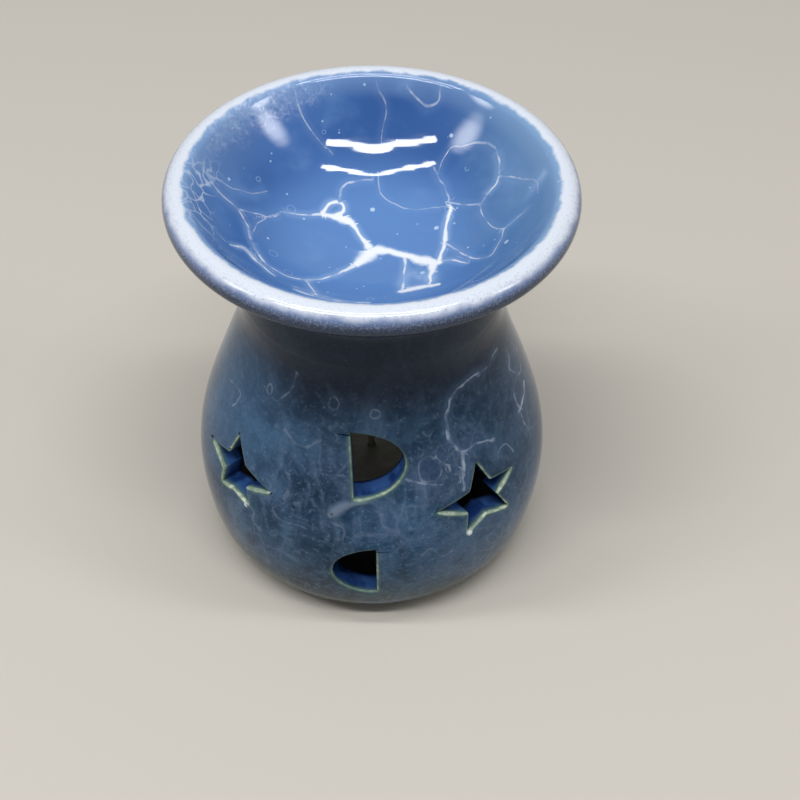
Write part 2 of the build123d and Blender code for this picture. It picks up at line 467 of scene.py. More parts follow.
def make_shell():
    """Foot, belly, neck and chamber turned as one wall, then cut with a knife."""
    section = [(0, FOOT_RECESS), (12 * MM, FOOT_RECESS), (RECESS_RADIUS - 1 * MM, FOOT_RECESS)]
    section += [(RECESS_RADIUS - 0.3 * MM, 0.4 * MM), (RECESS_RADIUS + 0.3 * MM, 0)]
    section += [(FOOT_RADIUS - 0.4 * MM, 0)]
    section += wall_line(0.25 * MM, COLLAR_HEIGHT, 0.8 * MM, False)
    section += reversed(wall_line(CHAMBER_FLOOR, COLLAR_HEIGHT, 1.2 * MM, True))
    section += [(share * FLOOR_EDGE, CHAMBER_FLOOR) for share in (0.85, 0.65, 0.4, 0.2, 0)]
    shell = turned("burner_shell", section, 320)
    marks = [bpy.data.materials.new(name) for name in ("wall", "fresh_cut", "old_cut")]
    for mark in marks:
        shell.data.materials.append(mark)
    arch = arch_cutter("arch_cutter", 22.2 * MM, 17 * MM)
    cut_opening(shell, arch, ARCH_ROUNDING, ARCH_LINES)
    upper = half_moon_cutter("upper_moon_cutter", 46.8, 14.1, 10.9, -4.0, 2.9)
    lower = half_moon_cutter("lower_moon_cutter", 19.4, 14.6, 9.4, 1.0, 180.7)
    cut_opening(shell, upper, MOON_ROUNDING, MOON_LINES)
    cut_opening(shell, lower, MOON_ROUNDING, MOON_LINES)
    right_angles = (90.0, 10.0, -43.5, -124.0, -188.0)
    right_shares = (0.87, 0.95, 0.98, 0.82, 1.07)
    left_angles = (98.0, 6.5, -42.0, -125.0, -183.0)
    left_shares = (0.83, 1.02, 0.75, 0.68, 1.02)
    right = star_cutter("right_star_cutter", 38.8, 33.0, right_angles, right_shares)
    left = star_cutter("left_star_cutter", -52.0, 34.5, left_angles, left_shares)
    cut_opening(shell, right, STAR_ROUNDING, STAR_LINES)
    cut_opening(shell, left, STAR_ROUNDING, STAR_LINES)
    slips = (((-8.0, 53.5), (-14.2, 53.7), 0.75 * MM), ((0.8, 26.4), (5.9, 26.3), 0.6 * MM))
    for start, end, width in slips:
        cut(shell, knife_slip("knife_slip", start, end, width, 0.5 * MM), "FAST")
        close_cut(shell)
    edit_all()
    bpy.ops.mesh.remove_doubles(threshold=0.002 * MM)
    bpy.ops.mesh.select_all(action="SELECT")
    bpy.ops.mesh.dissolve_degenerate(threshold=0.002 * MM)
    bpy.ops.object.mode_set(mode="OBJECT")
    for face in shell.data.polygons:
        face.material_index = 0
    shell.data.materials.clear()
    for mark in marks:
        bpy.data.materials.remove(mark)
    return shell


# Veins and rings in the shell's glaze: strength, half width in mm, then azimuth and height
SHELL_LINES = (
    (0.8, 0.32, ((51.4, 59.8), (45.1, 60.1), (39.2, 59.8), (34.1, 58.7), (32.0, 56.6),
        (30.1, 55.2), (30.2, 53.0), (29.5, 50.9), (30.3, 49.4), (31.8, 47.7), (33.8, 46.0))),
    (0.7, 0.28, ((33.8, 46.0), (36.4, 45.8), (38.3, 45.9), (40.3, 46.0), (42.6, 45.7),
        (45.4, 45.1), (47.7, 44.4))),
    (0.9, 0.42, ((33.8, 46.0), (33.6, 44.2), (33.4, 42.4), (32.4, 40.3), (32.2, 38.2))),
    (0.3, 0.2, ((16.3, 45.4), (17.7, 47.0), (20.9, 47.6), (24.0, 46.0), (24.7, 44.1), (23.2, 42.5),
        (20.2, 42.2), (17.1, 43.3), (16.3, 45.4))),
    (0.55, 0.24, ((13.2, 43.4), (15.2, 42.7), (18.0, 42.1), (20.4, 41.7), (22.9, 41.0))),
    (0.5, 0.2, ((23.8, 46.9), (26.5, 45.2), (28.2, 44.0))),
    (0.4, 0.25, ((31.4, 41.8), (32.5, 42.1), (33.3, 41.3), (32.1, 40.9), (31.4, 41.8))),
    (0.35, 0.25, ((26.8, 38.2), (28.0, 38.6), (28.9, 37.7), (27.7, 37.3), (26.8, 38.2))),
    (0.5, 0.25, ((50.7, 59.8), (54.1, 59.6), (57.9, 59.3), (61.4, 60.3), (64.5, 60.4))),
    (0.5, 0.25, ((73.1, 56.4), (72.5, 54.5), (70.2, 53.4), (73.4, 50.6), (74.9, 49.1))),
    (0.5, 0.25, ((84.2, 51.8), (82.9, 49.6), (79.7, 48.4), (74.9, 49.1), (70.3, 49.1),
        (67.6, 48.3), (66.8, 46.2), (67.8, 43.9))),
    (1.0, 0.3, ((67.1, 43.4), (70.6, 44.1), (74.8, 44.7), (77.4, 45.6))),
    (0.5, 0.2, ((67.1, 43.4), (67.1, 41.0), (68.8, 37.9))),
    (0.3, 0.25, ((-46.6, 57.0), (-46.5, 58.0), (-45.1, 58.6), (-43.7, 58.1), (-43.6, 56.9),
        (-44.8, 56.1), (-46.6, 57.0))),
    (0.3, 0.25, ((-44.4, 56.3), (-42.0, 56.0), (-39.5, 56.4), (-37.5, 57.6), (-35.1, 59.4),
        (-33.7, 61.6), (-33.1, 63.9))),
    (0.3, 0.22, ((-17.8, 59.5), (-17.1, 60.9), (-15.5, 61.8), (-13.8, 61.1), (-13.2, 60.0),
        (-14.4, 59.0), (-16.4, 58.8), (-17.8, 59.5))),
    (0.2, 0.2, ((-0.7, 58.4), (0.5, 59.2), (2.5, 59.2), (3.3, 58.3), (2.1, 57.7), (0.1, 57.7),
        (-0.7, 58.4))),
    (0.2, 0.3, ((-29.3, 35.1), (-31.4, 34.0), (-33.5, 32.5), (-32.5, 31.2), (-30.2, 30.4),
        (-27.2, 30.5), (-24.4, 30.7), (-22.3, 30.7))),
    (0.22, 0.35, ((-32.0, 42.8), (-30.2, 42.1), (-28.7, 40.9), (-28.6, 39.0), (-29.3, 37.1))),
    (0.2, 0.3, ((-13.7, 34.5), (-11.7, 33.2), (-9.5, 32.9), (-8.5, 31.5), (-9.4, 29.5),
        (-8.4, 27.7))),
    (0.2, 0.35, ((-33.1, 50.6), (-30.2, 49.3), (-27.1, 48.9), (-23.6, 49.6), (-20.4, 51.3))),
    (0.22, 0.3, ((-42.8, 29.6), (-40.9, 28.4), (-41.2, 25.9), (-39.0, 24.7))),
    (0.4, 0.22, ((-70.1, 50.3), (-64.6, 51.2), (-60.1, 51.2), (-60.5, 49.3), (-61.9, 47.5))),
    (0.2, 0.3, ((16.9, 24.5), (18.6, 25.6), (20.6, 24.2), (22.4, 22.0), (25.5, 22.0))),
    (0.2, 0.3, ((40.4, 21.1), (43.2, 20.6), (45.9, 17.2), (43.6, 16.7), (40.2, 19.4))),
    (0.45, 0.2, ((48.8, 40.5), (51.0, 41.4), (54.2, 40.7), (56.1, 38.5))),
)


def dress_shell(shell):
    """Throwing marks, a run and two beads of glaze, and the values that its colours follow."""
    drawing = Drawing()
    for strength, width, line in SHELL_LINES:
        points = [front_point(azimuth, height) for azimuth, height in line]
        drawing.add(points, [width * MM] * len(points), strength, 0.35 * MM)
    drawing.finish()
    run = Drawing()
    line = ((-3.0, 39.3), (-6.5, 38.9), (-9.7, 37.9), (-12.2, 36.4), (-13.9, 35.2))
    widths = (0.5, 0.9, 1.35, 1.45, 0.7)
    run.add([front_point(*point) for point in line], [width * MM for width in widths], 1, 0)
    run.finish()
    beads = ((front_point(32.6, 25.7), 0.9 * MM), (front_point(-44.3, 28.9), 0.8 * MM))
    near = tree_of(rim_points)
    places, normals, edges, depths, runs, drops = [], [], [], [], [], []
    for vertex in shell.data.vertices:
        place = vertex.co.copy()
        reach = reach_of(place)
        outward = Vector((place.x, place.y, 0)).normalized()
        if reach <= 1 * MM:
            outward = Vector((0, 0, 1))
        places.append(place)
        normals.append(outward)
        depth = min(max(depth_in_wall(place), 0), 1)
        if place.z < CHAMBER_FLOOR - 0.3 * MM:
            depth = 0
        rim, index, gap = near.find(place)
        outer_line, line = rim_lines[index]
        if depth < 0.06:
            above = (place - rim).z / max(gap, 0.001 * MM)
            line = outer_line * (1 - 0.4 * smooth(-0.2, 0.6, above))
        edges.append(gap / line)
        depths.append(depth)
        run_side, run_end, _ = run.measure(place, outward)
        ratio = max(abs(run_side), run_end * 0.6) if depth < 0.05 else FAR
        runs.append(min(ratio, FAR))
        drop = min((place - bead).length / size for bead, size in beads)
        drops.append(min(drop, FAR))
        off_wall = depth > 0.3 or reach < 1 * MM
        if off_wall or not 0.02 * MM <= place.z <= COLLAR_HEIGHT - 0.1 * MM:
            continue
        slow = noise.noise(Vector((outward.x * 1.3, outward.y * 1.3, place.z * 30)))
        rings = math.sin(place.z / MM * 2.1 + 1.5 * noise.noise(outward * 2))
        lift = -0.09 * MM * (0.5 + 0.5 * slow) - 0.006 * MM * (1 + rings)
        roll = smooth(0.8 * MM, 2.2 * MM, place.z) - smooth(2.6 * MM, 6 * MM, place.z)
        lift += 0.22 * MM * roll
        lift += 0.3 * MM * (1 - smooth(0.3, 1.0, ratio)) + 0.3 * MM * (1 - smooth(0.2, 1.0, drop))
        lift *= smooth(0.1 * MM, 0.8 * MM, place.z) * (1 - smooth(0.02, 0.3, depth))
        vertex.co = place + outward * lift
    keep_drawing(shell, drawing, places, normals)
    for name, values in (("edge", edges), ("depth", depths), ("run", runs), ("drop", drops)):
        keep_value(shell, name, values)


# The bowl

bowl_wall = feeler("oil_bowl")


def make_bowl():
    """One turned wall: hollow, rolled lip, flared underside and the ring it is luted on."""
    down, up, inward = Vector((0, 0, -1)), Vector((0, 0, 1)), Vector((-1, 0, 0))
    section = []
    lip_start = LIP_RING_RADIUS - LIP_RADIUS
    for index in range(81):
        across = max(lip_start * index / 80, 0.001 * MM)
        hit = bowl_wall.ray_cast(Vector((across, 0, OUTSIDE)), down)[0]
        section.append((0 if index == 0 else across, hit.z))
    start = LIP_INNER_ANGLE
    for index in range(1, 40):
        angle = math.radians(start - (start + 360 - LIP_CREASE_ANGLE) * index / 39)
        across = LIP_RING_RADIUS + LIP_RADIUS * math.cos(angle)
        height = LIP_RING_HEIGHT + LIP_RADIUS * math.sin(angle)
        section.append((across, min(height, cad_box[1][2])))
    crease = section[-1][1]
    for index in range(1, 20):
        height = crease - 0.6 * MM - (crease - 0.6 * MM - COLLAR_HEIGHT) * index / 19
        height = max(height, COLLAR_HEIGHT + 0.001 * MM)
        hit = bowl_wall.ray_cast(Vector((OUTSIDE, 0, height)), inward)[0]
        section.append((hit.x, max(hit.z, COLLAR_HEIGHT)))
    section[-1] = (NECK_RADIUS, COLLAR_HEIGHT)
    section.append((NECK_BORE, COLLAR_HEIGHT))
    for index in range(10):
        across = (NECK_BORE - 0.05 * MM) * (1 - index / 9)
        hit = bowl_wall.ray_cast(Vector((max(across, 0.001 * MM), 0, 0)), up)[0]
        section.append((across, hit.z))
    return turned("glazed_bowl", section, 360)


# Veins in the hollow of the bowl, seen from above: strength, then x, y and half width in mm
BOWL_LINES = (
    (0.5, ((-36.5, 8.9, 0.2), (-33.9, 6.7, 0.2), (-31.0, 4.8, 0.25), (-27.7, 4.0, 0.3),
        (-25.8, 1.3, 0.25))),
    (0.7, ((-25.8, 1.3, 0.25), (-24.3, -3.8, 0.3), (-22.1, -8.7, 0.4), (-19.4, -10.7, 0.25),
        (-16.4, -11.6, 0.22), (-13.3, -11.1, 0.4))),
    (0.85, ((-13.3, -11.1, 0.4), (-9.3, -8.8, 0.25), (-5.3, -5.0, 0.4), (-3.4, -3.2, 0.75))),
    (1.0, ((-3.4, -3.2, 0.98), (-1.6, -0.9, 1.7), (-0.4, 0.9, 2.5), (1.2, 1.7, 1.8),
        (3.4, 1.6, 1.1))),
    (0.45, ((-27.7, 4.0, 0.2), (-23.6, 5.6, 0.15), (-21.2, 6.3, 0.2), (-18.6, 9.0, 0.22))),
    (0.7, ((-18.6, 9.0, 0.22), (-14.1, 9.9, 0.2), (-10.5, 11.1, 0.4))),
    (0.35, ((-24.3, -3.8, 0.2), (-24.2, 0.5, 0.15), (-22.7, 4.5, 0.15), (-20.8, 7.1, 0.2),
        (-18.6, 9.0, 0.2))),
    (0.9, ((-27.5, -9.2, 0.2), (-25.3, -7.9, 0.7), (-22.8, -10.4, 0.45), (-19.9, -13.1, 0.2))),
    (0.95, ((-10.5, 11.1, 0.65), (-9.3, 13.6, 0.33), (-7.2, 14.9, 0.52), (-5.9, 13.9, 0.33),
        (-6.5, 12.0, 0.52), (-8.2, 11.0, 0.78), (-10.5, 11.1, 0.65))),
    (1.0, ((-8.0, 10.8, 0.78), (-6.1, 10.5, 1.4), (-4.4, 9.9, 1.2))),
    (0.5, ((-6.8, 15.0, 0.4), (-6.8, 17.1, 0.3), (-5.7, 19.0, 0.25), (-2.9, 20.1, 0.2),
        (0.1, 20.6, 0.15))),
    (0.95, ((-4.4, 9.9, 0.91), (-2.9, 7.2, 0.39), (-1.4, 4.3, 0.65), (-0.6, 2.8, 1.2))),
    (1.0, ((3.4, 1.6, 1), (7.9, -0.7, 0.98), (10.4, -2.6, 1.6), (12.9, -4.0, 1.4),
        (14.4, -4.3, 0.78))),
    (0.75, ((14.4, -4.3, 0.5), (16.4, -4.7, 0.3), (19.1, -7.5, 0.2))),
    (1.0, ((12.6, -3.9, 1.3), (12.2, -7.0, 0.78), (11.8, -9.4, 0.39), (11.8, -11.4, 0.26))),
    (0.95, ((16.4, 12.0, 0.15), (16.5, 9.9, 0.55), (15.6, 6.6, 0.28), (15.4, 2.4, 0.6),
        (14.4, -1.8, 0.35), (13.6, -4.2, 0.78))),
    (0.45, ((16.3, 12.9, 0.25), (15.6, 16.0, 0.2), (14.1, 19.0, 0.2), (13.3, 21.1, 0.2))),
    (0.7, ((6.9, -1.8, 0.4), (6.7, -7.0, 0.22), (6.1, -13.0, 0.4))),
    (1.0, ((6.1, -13.4, 0.98), (9.3, -12.9, 1), (12.9, -13.1, 0.59))),
    (0.55, ((15.4, 1.4, 0.3), (17.7, -2.2, 0.2), (20.4, -6.4, 0.25), (23.8, -8.8, 0.2),
        (26.0, -4.7, 0.15), (27.1, -1.9, 0.2), (29.1, -1.1, 0.15), (31.2, -0.5, 0.12))),
    (0.4, ((16.3, 12.4, 0.25), (20.6, 9.8, 0.2), (22.8, 9.1, 0.35), (24.1, 10.5, 0.35))),
    (0.7, ((24.1, 10.5, 0.4), (26.1, 11.5, 0.25), (26.8, 14.5, 0.2), (26.3, 18.4, 0.15))),
    (0.4, ((26.3, 18.4, 0.15), (24.1, 21.0, 0.25), (20.1, 22.7, 0.15), (17.1, 23.4, 0.15),
        (15.5, 22.2, 0.15), (14.2, 19.8, 0.15))),
    (0.4, ((22.6, 8.9, 0.25), (23.3, 5.0, 0.12), (25.1, 0.7, 0.15), (27.1, -1.9, 0.2))),
    (0.45, ((26.8, 13.0, 0.15), (30.2, 9.4, 0.18), (33.6, 4.9, 0.15), (33.6, 2.3, 0.15))),
    (0.35, ((1.4, 35.2, 0.2), (3.1, 32.6, 0.2), (2.4, 29.3, 0.15), (1.8, 26.7, 0.15))),
    (0.4, ((8.2, 34.3, 0.2), (10.2, 32.6, 0.2), (12.5, 31.4, 0.25), (14.4, 31.5, 0.2),
        (14.6, 32.7, 0.2))),
    (0.4, ((-16.0, 31.2, 0.2), (-14.5, 28.8, 0.2), (-12.0, 27.0, 0.2), (-9.0, 25.1, 0.2))),
    (0.85, ((-14.6, -17.5, 0.4), (-10.6, -18.2, 0.45), (-5.5, -18.9, 0.3), (-1.1, -18.6, 0.3))),
    (0.7, ((-13.2, -11.5, 0.3), (-11.9, -14.6, 0.25), (-10.6, -18.2, 0.35))),
    (0.35, ((1.4, 21.0, 0.15), (1.8, 18.0, 0.18), (4.3, 14.8, 0.15), (8.6, 12.7, 0.18),
        (12.8, 12.1, 0.15), (15.9, 11.3, 0.15))),
    (0.35, ((-31.5, 7.8, 0.2), (-28.5, 8.6, 0.18), (-25.4, 9.9, 0.15), (-22.6, 11.9, 0.15))),
    (0.5, ((-37.3, 9.2, 0.15), (-34.9, 7.6, 0.15), (-32.3, 8.4, 0.15))),
    (0.5, ((-35.7, -7.3, 0.15), (-33.0, -7.6, 0.15), (-29.7, -9.3, 0.15))),
    (0.6, ((-21.5, -24.2, 0.25), (-18.2, -25.6, 0.35), (-14.4, -27.2, 0.2))),
    (0.55, ((-9.8, -27.4, 0.2), (-5.6, -28.8, 0.35), (-1.2, -28.3, 0.3), (3.2, -29.0, 0.15))),
    (0.5, ((8.4, -27.0, 0.2), (12.6, -26.8, 0.35), (16.4, -24.6, 0.2))),
    (0.45, ((-27.6, -18.2, 0.2), (-24.9, -20.9, 0.3), (-23.0, -21.8, 0.15))),
)


def dress_bowl(bowl):
    """An uneven hollow and wall, and where the veins run and how far off the lip's crest is."""
    drawing = Drawing()
    for strength, line in BOWL_LINES:
        points = [Vector((x, y, 0)) * MM for x, y, _ in line]
        drawing.add(points, [width * MM for _, _, width in line], strength, 0.3 * MM)
    drawing.finish()
    up = Vector((0, 0, 1))
    per_degree = LIP_RADIUS * math.pi / 180
    inner_edge = (LIP_INNER_ANGLE - 90) * per_degree
    outer_edge = (LIP_CREASE_ANGLE - 360 - 90) * per_degree
    places, ways = [], []
    for vertex in bowl.data.vertices:
        place = vertex.co
        reach = reach_of(place)
        places.append(Vector((place.x, place.y, 0)))
        aside, above = reach - LIP_RING_RADIUS, place.z - LIP_RING_HEIGHT
        from_ring = math.hypot(aside, above)
        high = bowl_wall.ray_cast(Vector((place.x, place.y, OUTSIDE)), -up)[0]
        if from_ring < LIP_RADIUS + 0.03 * MM:
            turn = math.degrees(math.atan2(above, aside))
            turn += 360 if turn < LIP_CREASE_ANGLE - 361 else 0
            ways.append((turn - 90) * per_degree)
        elif high is not None and abs(high.z - place.z) < 0.4 * MM:
            ways.append(inner_edge + from_ring - LIP_RADIUS)
        else:
            ways.append(outer_edge - (from_ring - LIP_RADIUS))
    for vertex in bowl.data.vertices:
        place = vertex.co
        reach = reach_of(place)
        if reach < 1 * MM:
            continue
        if ways[vertex.index] > inner_edge + 1 * MM:
            aside = (Vector((place.x, place.y, 0)) - Vector((0.5, 20.5, 0)) * MM).length
            dip = 0.28 * MM * (1 - smooth(0, 7.5 * MM, aside))
            dip += 0.05 * MM * noise.noise(place * 70)
            place.z -= dip * smooth(inner_edge + 1 * MM, inner_edge + 6 * MM, ways[vertex.index])
        turn = Vector((place.x, place.y, 0)) / reach
        slow = noise.noise(Vector((turn.x * 1.1, turn.y * 1.1, place.z * 25 + 4)))
        lift = -0.08 * MM * (0.5 + 0.5 * slow) * smooth(72 * MM, 80 * MM, place.z)
        vertex.co = place + turn * lift
    keep_drawing(bowl, drawing, places, [up] * len(places))
    keep_value(bowl, "lip_way", [way / MM for way in ways])


# The tealight's wax and wick

def make_wax():
    """Wax poured into the cup: it creeps up the cup's wall and the wick, round the holder."""
    low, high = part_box("tealight_wax")
    foot, top, reach = low[2], high[2], high[0]
    disc, disc_top, collar, collar_top, bore = (part * MM for part in (6.1, 0.5, 1.8, 4.1, 1.0))
    section = [(bore, foot + collar_top), (bore, top - 0.5 * MM), (bore, top - 0.16 * MM)]
    for index in range(1, 41):
        across = bore + (reach - bore) * index / 40
        creep = math.exp((bore - across) / (0.6 * MM))
        creep += 1.5 * math.exp((across - reach) / (0.55 * MM))
        section.append((across, top - 0.42 * MM + 0.28 * MM * creep))
    section.append((reach, top - 1 * MM))
    for index in range(7):
        turn = math.radians(15 * index)
        across = reach - 1.5 * MM * (1 - math.cos(turn))
        section.append((across, foot + 1.5 * MM * (1 - math.sin(turn))))
    section += [(disc, foot), (disc, foot + disc_top), (collar, foot + disc_top)]
    section += [(collar, foot + collar_top), (bore, foot + collar_top)]
    wax = turned("poured_wax", section, 120)
    for vertex in wax.data.vertices:
        place = vertex.co
        if place.z > top - 0.6 * MM and bore + 0.2 * MM < reach_of(place) < reach - 0.2 * MM:
            place.z += 0.05 * MM * noise.noise(place * 260) - 0.02 * MM
    return wax


def make_wick():
    """Three waxed strands twisted round each other, standing on the cup's floor."""
    low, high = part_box("wick")
    foot, top = low[2], high[2]
    steps = 56
    bpy.ops.object.select_all(action="DESELECT")
    bpy.ops.mesh.primitive_circle_add(vertices=14, radius=0.45 * MM, fill_type="NGON",
                                      location=(0.42 * MM, 0, foot))
    wick = bpy.context.active_object
    wick.name = "twisted_wick"
    settle(wick)
    edit_all()
    for _ in range(steps):
        rise = (0, 0, (top - foot) / steps)
        bpy.ops.mesh.extrude_region_move(TRANSFORM_OT_translate={"value": rise})
        bpy.ops.transform.rotate(value=math.radians(19), orient_axis="Z",
                                 center_override=(0, 0, 0))
    bpy.ops.mesh.select_all(action="SELECT")
    for _ in range(2):
        bpy.ops.mesh.duplicate()
        bpy.ops.transform.rotate(value=math.radians(120), orient_axis="Z",
                                 center_override=(0, 0, 0))
    faced_outward()
    for vertex in wick.data.vertices:
        place = vertex.co
        place.xy *= 1 - 0.4 * smooth(top - 0.9 * MM, top, place.z)
        place.x += 0.35 * MM * smooth(top - 6 * MM, top, place.z)
    return wick


# Shader helpers

class Value:
    """The output of a shader node. Sums and products of it are written as in a formula."""

    def __init__(self, socket):
        self.socket, self.tree = socket, socket.id_data

    def __add__(self, other):
        return calc("ADD", self, other)

    def __sub__(self, other):
        return calc("SUBTRACT", self, other)

    def __rsub__(self, other):
        return calc("SUBTRACT", other, self)

    def __mul__(self, other):
        return calc("MULTIPLY", self, other)

    def ranged(self, low, high, start=0.0, end=1.0):
        """A soft step from start to end while this goes from low to high."""
        made = node(self.tree, "MapRange", {"interpolation_type": "SMOOTHSTEP"}, Value=self,
                    From_Min=low, From_Max=high, To_Min=start, To_Max=end)
        return Value(made.outputs["Result"])

    def around(self, centre, near, far):
        """1 close to a point and 0 away from it, in metres."""
        return vectors("DISTANCE", self, centre).ranged(far, near)

    def part(self, axis):
        """One coordinate of a vector."""
        return Value(node(self.tree, "SeparateXYZ", Vector=self).outputs[axis])

    def stretched(self, scale):
        """The same place with its up axis scaled."""
        return Value(node(self.tree, "Mapping", Vector=self, Scale=(1, 1, scale)).outputs[0])


def node(tree, kind, settings=None, **inputs):
    """Add a shader node. An input is a plain value, or the output that feeds it."""
    made = tree.nodes.new("ShaderNode" + kind)
    for name, value in (settings or {}).items():
        setattr(made, name, value)
    for name, value in inputs.items():
        feed(made.inputs[name.replace("_", " ")], value)
    return made


def feed(socket, value):
    """Set a socket to a plain value, or link an output to it."""
    if isinstance(value, Value):
        value.tree.links.new(value.socket, socket)
    else:
        socket.default_value = value


def calc(operation, first, second=0.0):
    """One sum, product or comparison of two values."""
    tree = (first if isinstance(first, Value) else second).tree
    made = node(tree, "Math", {"operation": operation})
    feed(made.inputs[0], first)
    feed(made.inputs[1], second)
    return Value(made.outputs[0])


def vectors(operation, first, second):
    """A sum, a scaling or a distance of vectors."""
    made = node(first.tree, "VectorMath", {"operation": operation})
    feed(made.inputs[0], first)
    feed(made.inputs["Scale" if operation == "SCALE" else 1], second)
    return Value(made.outputs["Value" if operation == "DISTANCE" else "Vector"])


def colour(red, green, blue):
    """A colour as it is seen on a screen, 0 to 255, in the shader's own linear scale."""
    parts = []
    for part in (red, green, blue):
        part /= 255
        parts.append(part / 12.92 if part <= 0.04045 else ((part + 0.055) / 1.055) ** 2.4)
    return (*parts, 1.0)


def mixed(share, under, over):
    """Lay one colour over another by a share."""
    mix = node(share.tree, "Mix", {"data_type": "RGBA"})
    for index, value in ((0, share), (6, under), (7, over)):
        feed(mix.inputs[index], colour(*value) if isinstance(value, tuple) else value)
    return Value(mix.outputs[2])


def layered(base, *layers):
    """Lay colours over a base one after another, each by its share."""
    for share, over in layers:
        base = mixed(share, base, over)
    return base


def fbm(spot, scale, detail=3.0, roughness=0.5, twist=0.0):
    """Plain noise at a scale, or marbled where it is twisted."""
    made = node(spot.tree, "TexNoise", Vector=spot, Scale=scale, Detail=detail,
                Roughness=roughness, Distortion=twist)
    return Value(made.outputs[0])


def group(name, **inputs):
    """Start a shader node group that reads a vector and named numbers."""
    tree = bpy.data.node_groups.new(name, "ShaderNodeTree")
    tree.interface.new_socket("Vector", in_out="INPUT", socket_type="NodeSocketVector")
    for label, default in inputs.items():
        socket = tree.interface.new_socket(label, in_out="INPUT", socket_type="NodeSocketFloat")
        socket.default_value = default
    start = tree.nodes.new("NodeGroupInput")
    return tree, {output.name: Value(output) for output in start.outputs if output.name}


def outlets(tree, **outputs):
    """Name a group's outputs and feed them."""
    for label in outputs:
        kind = "Color" if label == "Color" else "Float"
        tree.interface.new_socket(label, in_out="OUTPUT", socket_type="NodeSocket" + kind)
    end = tree.nodes.new("NodeGroupOutput")
    for label, value in outputs.items():
        feed(end.inputs[label], value)
    return tree


def placed(made, spot, **inputs):
    """Put a node group in a material, with its own values."""
    holder = node(spot.tree, "Group", {"node_tree": made}, Vector=spot, **inputs)
    return {output.name: Value(output) for output in holder.outputs}


def make_vein_group():
    """Glaze veins: wandering cell walls that fade in and out."""
    tree, given = group("glaze_veins", Cells=60.0, Width=0.03, Wander=0.004, Spread=0.5)
    spot = given["Vector"]
    bend = Value(node(tree, "TexNoise", Vector=spot, Scale=90.0, Detail=3.0).outputs["Color"])
    bend = vectors("SCALE", vectors("SUBTRACT", bend, (0.5, 0.5, 0.5)), given["Wander"])
    cells = node(tree, "TexVoronoi", {"feature": "DISTANCE_TO_EDGE"}, Scale=given["Cells"],
                 Vector=vectors("ADD", spot, bend))
    gap = Value(cells.outputs["Distance"])
    shown = fbm(spot, 45.0, 2.0).ranged(0.9 - given["Spread"], 0.75)
    return outlets(tree, Veins=gap.ranged(0.0, given["Width"], 1.0, 0.0) * shown,
                   Veil=gap.ranged(0.0, 0.3, 1.0, 0.0) * shown)


def make_bubble_group():
    """Burst bubbles in the glaze: small dots and thin rings, here and there."""
    tree, given = group("glaze_bubbles", Cells=300.0, Amount=0.3)
    cells = node(tree, "TexVoronoi", Vector=given["Vector"], Scale=given["Cells"])
    gap = Value(cells.outputs["Distance"])
    parts = node(tree, "SeparateColor", Color=Value(cells.outputs["Color"])).outputs
    chance, dot_size, ring_size = (Value(part) for part in parts)
    dot = (gap - (dot_size * 0.12 + 0.06)).ranged(-0.04, 0.02, 1.0, 0.0)
    ring = calc("ABSOLUTE", gap - (ring_size * 0.18 + 0.12)).ranged(0.01, 0.05, 1.0, 0.0)
    return outlets(tree, Dots=dot * calc("LESS_THAN", chance, given["Amount"]),
                   Rings=ring * calc("GREATER_THAN", chance, 1.0 - given["Amount"]))


def make_line_group():
    """The listed lines of a piece: ragged cores and the paler glaze round them."""
    tree, given = group("glaze_lines", Side=9.0, End=9.0, Strength=0.0, Ragged=1.0)
    spot, end, strength = given["Vector"], given["End"], given["Strength"]
    away = calc("ABSOLUTE", given["Side"]) + (fbm(spot, 480.0) - 0.5) * given["Ragged"] * 2.2
    patch = fbm(spot, 330.0).ranged(0.38, 0.6, 0.2, 1.0)
    patch = calc("MAXIMUM", patch, strength.ranged(0.85, 0.95))
    core = away.ranged(0.3, 1.25, 1.0, 0.0) * end.ranged(0.95, 1.35, 1.0, 0.0)
    halo = end.ranged(0.4, 2.2, 1.0, 0.0) * strength
    return outlets(tree, Core=core * strength * patch, Halo=halo)


